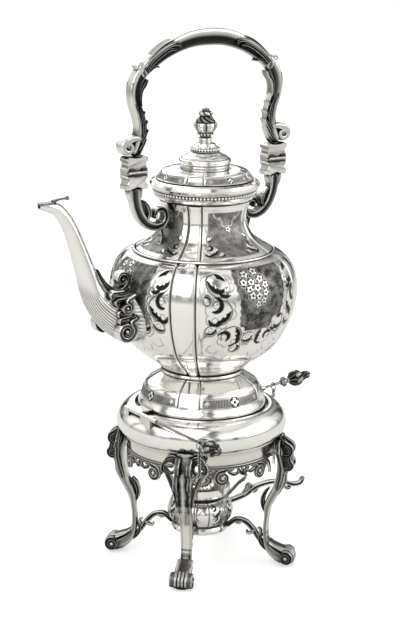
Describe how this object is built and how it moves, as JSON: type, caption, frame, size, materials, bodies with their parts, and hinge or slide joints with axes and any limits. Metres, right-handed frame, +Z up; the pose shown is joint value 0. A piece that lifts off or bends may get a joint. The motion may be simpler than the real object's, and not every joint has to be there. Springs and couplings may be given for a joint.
{
  "type": "tilting kettle on stand",
  "caption": "Footed kettle with swan-neck spout, bail handle and lid, hinged on a four-legged stand over a spirit burner.",
  "frame": {"origin": "on the kettle's upright axis, at table level", "axes": "+Z up the kettle's axis; -X towards the spout; the hinge pin's knob is at -Y"},
  "size_m": [0.2739, 0.204, 0.46],
  "materials": {
    "polished_silver": "polished, slightly warm",
    "oxidised_silver": "cast and chased, dark in the hollows",
    "chain_silver": "fine links, tarnished",
    "bone_insulator": "dull, yellow-brown",
    "cotton_wick": "woven cotton"
  },
  "bodies": {
    "stand": {"stand_ring": "polished_silver", "stand_band": "polished_silver", "band_wire": "polished_silver", "leg_front": "oxidised_silver", "leg_right": "oxidised_silver", "leg_back": "oxidised_silver", "leg_left": "oxidised_silver", "apron_near": "oxidised_silver", "apron_latch": "oxidised_silver", "apron_far": "oxidised_silver", "apron_spout": "oxidised_silver", "stretcher_front": "oxidised_silver", "stretcher_right": "oxidised_silver", "stretcher_back": "oxidised_silver", "stretcher_left": "oxidised_silver", "burner_tray": "polished_silver", "stand_knuckles": "polished_silver", "latch_guide": "polished_silver", "chain_eyes": "chain_silver", "hinge_pin_chain": "chain_silver", "latch_pin_chain": "chain_silver", "burner_chain": "chain_silver"},
    "kettle": {"kettle_bowl": "polished_silver", "kettle_neck": "polished_silver", "shoulder_wire": "polished_silver", "neck_moulding": "polished_silver", "neck_beads": "polished_silver", "kettle_foot": "polished_silver", "foot_collar": "polished_silver", "kettle_knuckle": "polished_silver", "spout": "polished_silver", "spout_leaf": "oxidised_silver", "flap_pin": "polished_silver", "bracket_front": "oxidised_silver", "bracket_rear": "oxidised_silver", "insulators": "bone_insulator", "bail_pins": "polished_silver"},
    "bail": {"bail_grip": "oxidised_silver", "bail_shoulder_front": "oxidised_silver", "bail_shoulder_rear": "oxidised_silver"},
    "lid": {"lid_rim": "polished_silver", "lid_bezel": "polished_silver", "lid_shell": "polished_silver", "lid_dome": "polished_silver", "finial_cup": "polished_silver", "lid_beads": "polished_silver", "finial": "oxidised_silver", "finial_stud": "polished_silver"},
    "spout_flap": {"spout_flap": "oxidised_silver"},
    "hinge_pin": {"hinge_pin": "polished_silver", "hinge_pin_knob": "oxidised_silver"},
    "latch_pin": {"latch_pin": "polished_silver", "latch_pin_knob": "oxidised_silver"},
    "burner": {"burner_reservoir": "polished_silver", "burner_collar": "polished_silver", "wick_tube": "polished_silver", "wick": "cotton_wick", "burner_handle": "polished_silver"},
    "snuffer": {"snuffer": "polished_silver"}
  },
  "joints": [
    {"name": "kettle_tilt", "type": "hinge", "parent": "stand", "child": "kettle", "pos_m": [-0.0665, 0, 0.1429], "axis": [0, -1, 0], "range_deg": [0, 45]},
    {"name": "bail_fold", "type": "hinge", "parent": "kettle", "child": "bail", "pos_m": [0, -0.0077, 0.3473], "axis": [1, 0, 0], "range_deg": [0, 90]},
    {"name": "lid_lift", "type": "slide", "parent": "kettle", "child": "lid", "axis": [0, 0, 1], "range_m": [0, 0.045]},
    {"name": "flap_open", "type": "hinge", "parent": "kettle", "child": "spout_flap", "pos_m": [-0.1435, 0, 0.3294], "axis": [0, 1, 0], "range_deg": [0, 20]},
    {"name": "hinge_pin_pull", "type": "slide", "parent": "stand", "child": "hinge_pin", "axis": [0, -1, 0], "range_m": [0, 0.04]},
    {"name": "latch_pin_slide", "type": "slide", "parent": "stand", "child": "latch_pin", "axis": [0.9942, 0, 0.108], "range_m": [-0.006, 0.01]},
    {"name": "burner_lift", "type": "slide", "parent": "stand", "child": "burner", "axis": [0, 0, 1], "range_m": [0, 0.004]},
    {"name": "snuffer_lift", "type": "slide", "parent": "burner", "child": "snuffer", "axis": [0, 0, 1], "range_m": [0, 0.025]}
  ]
}
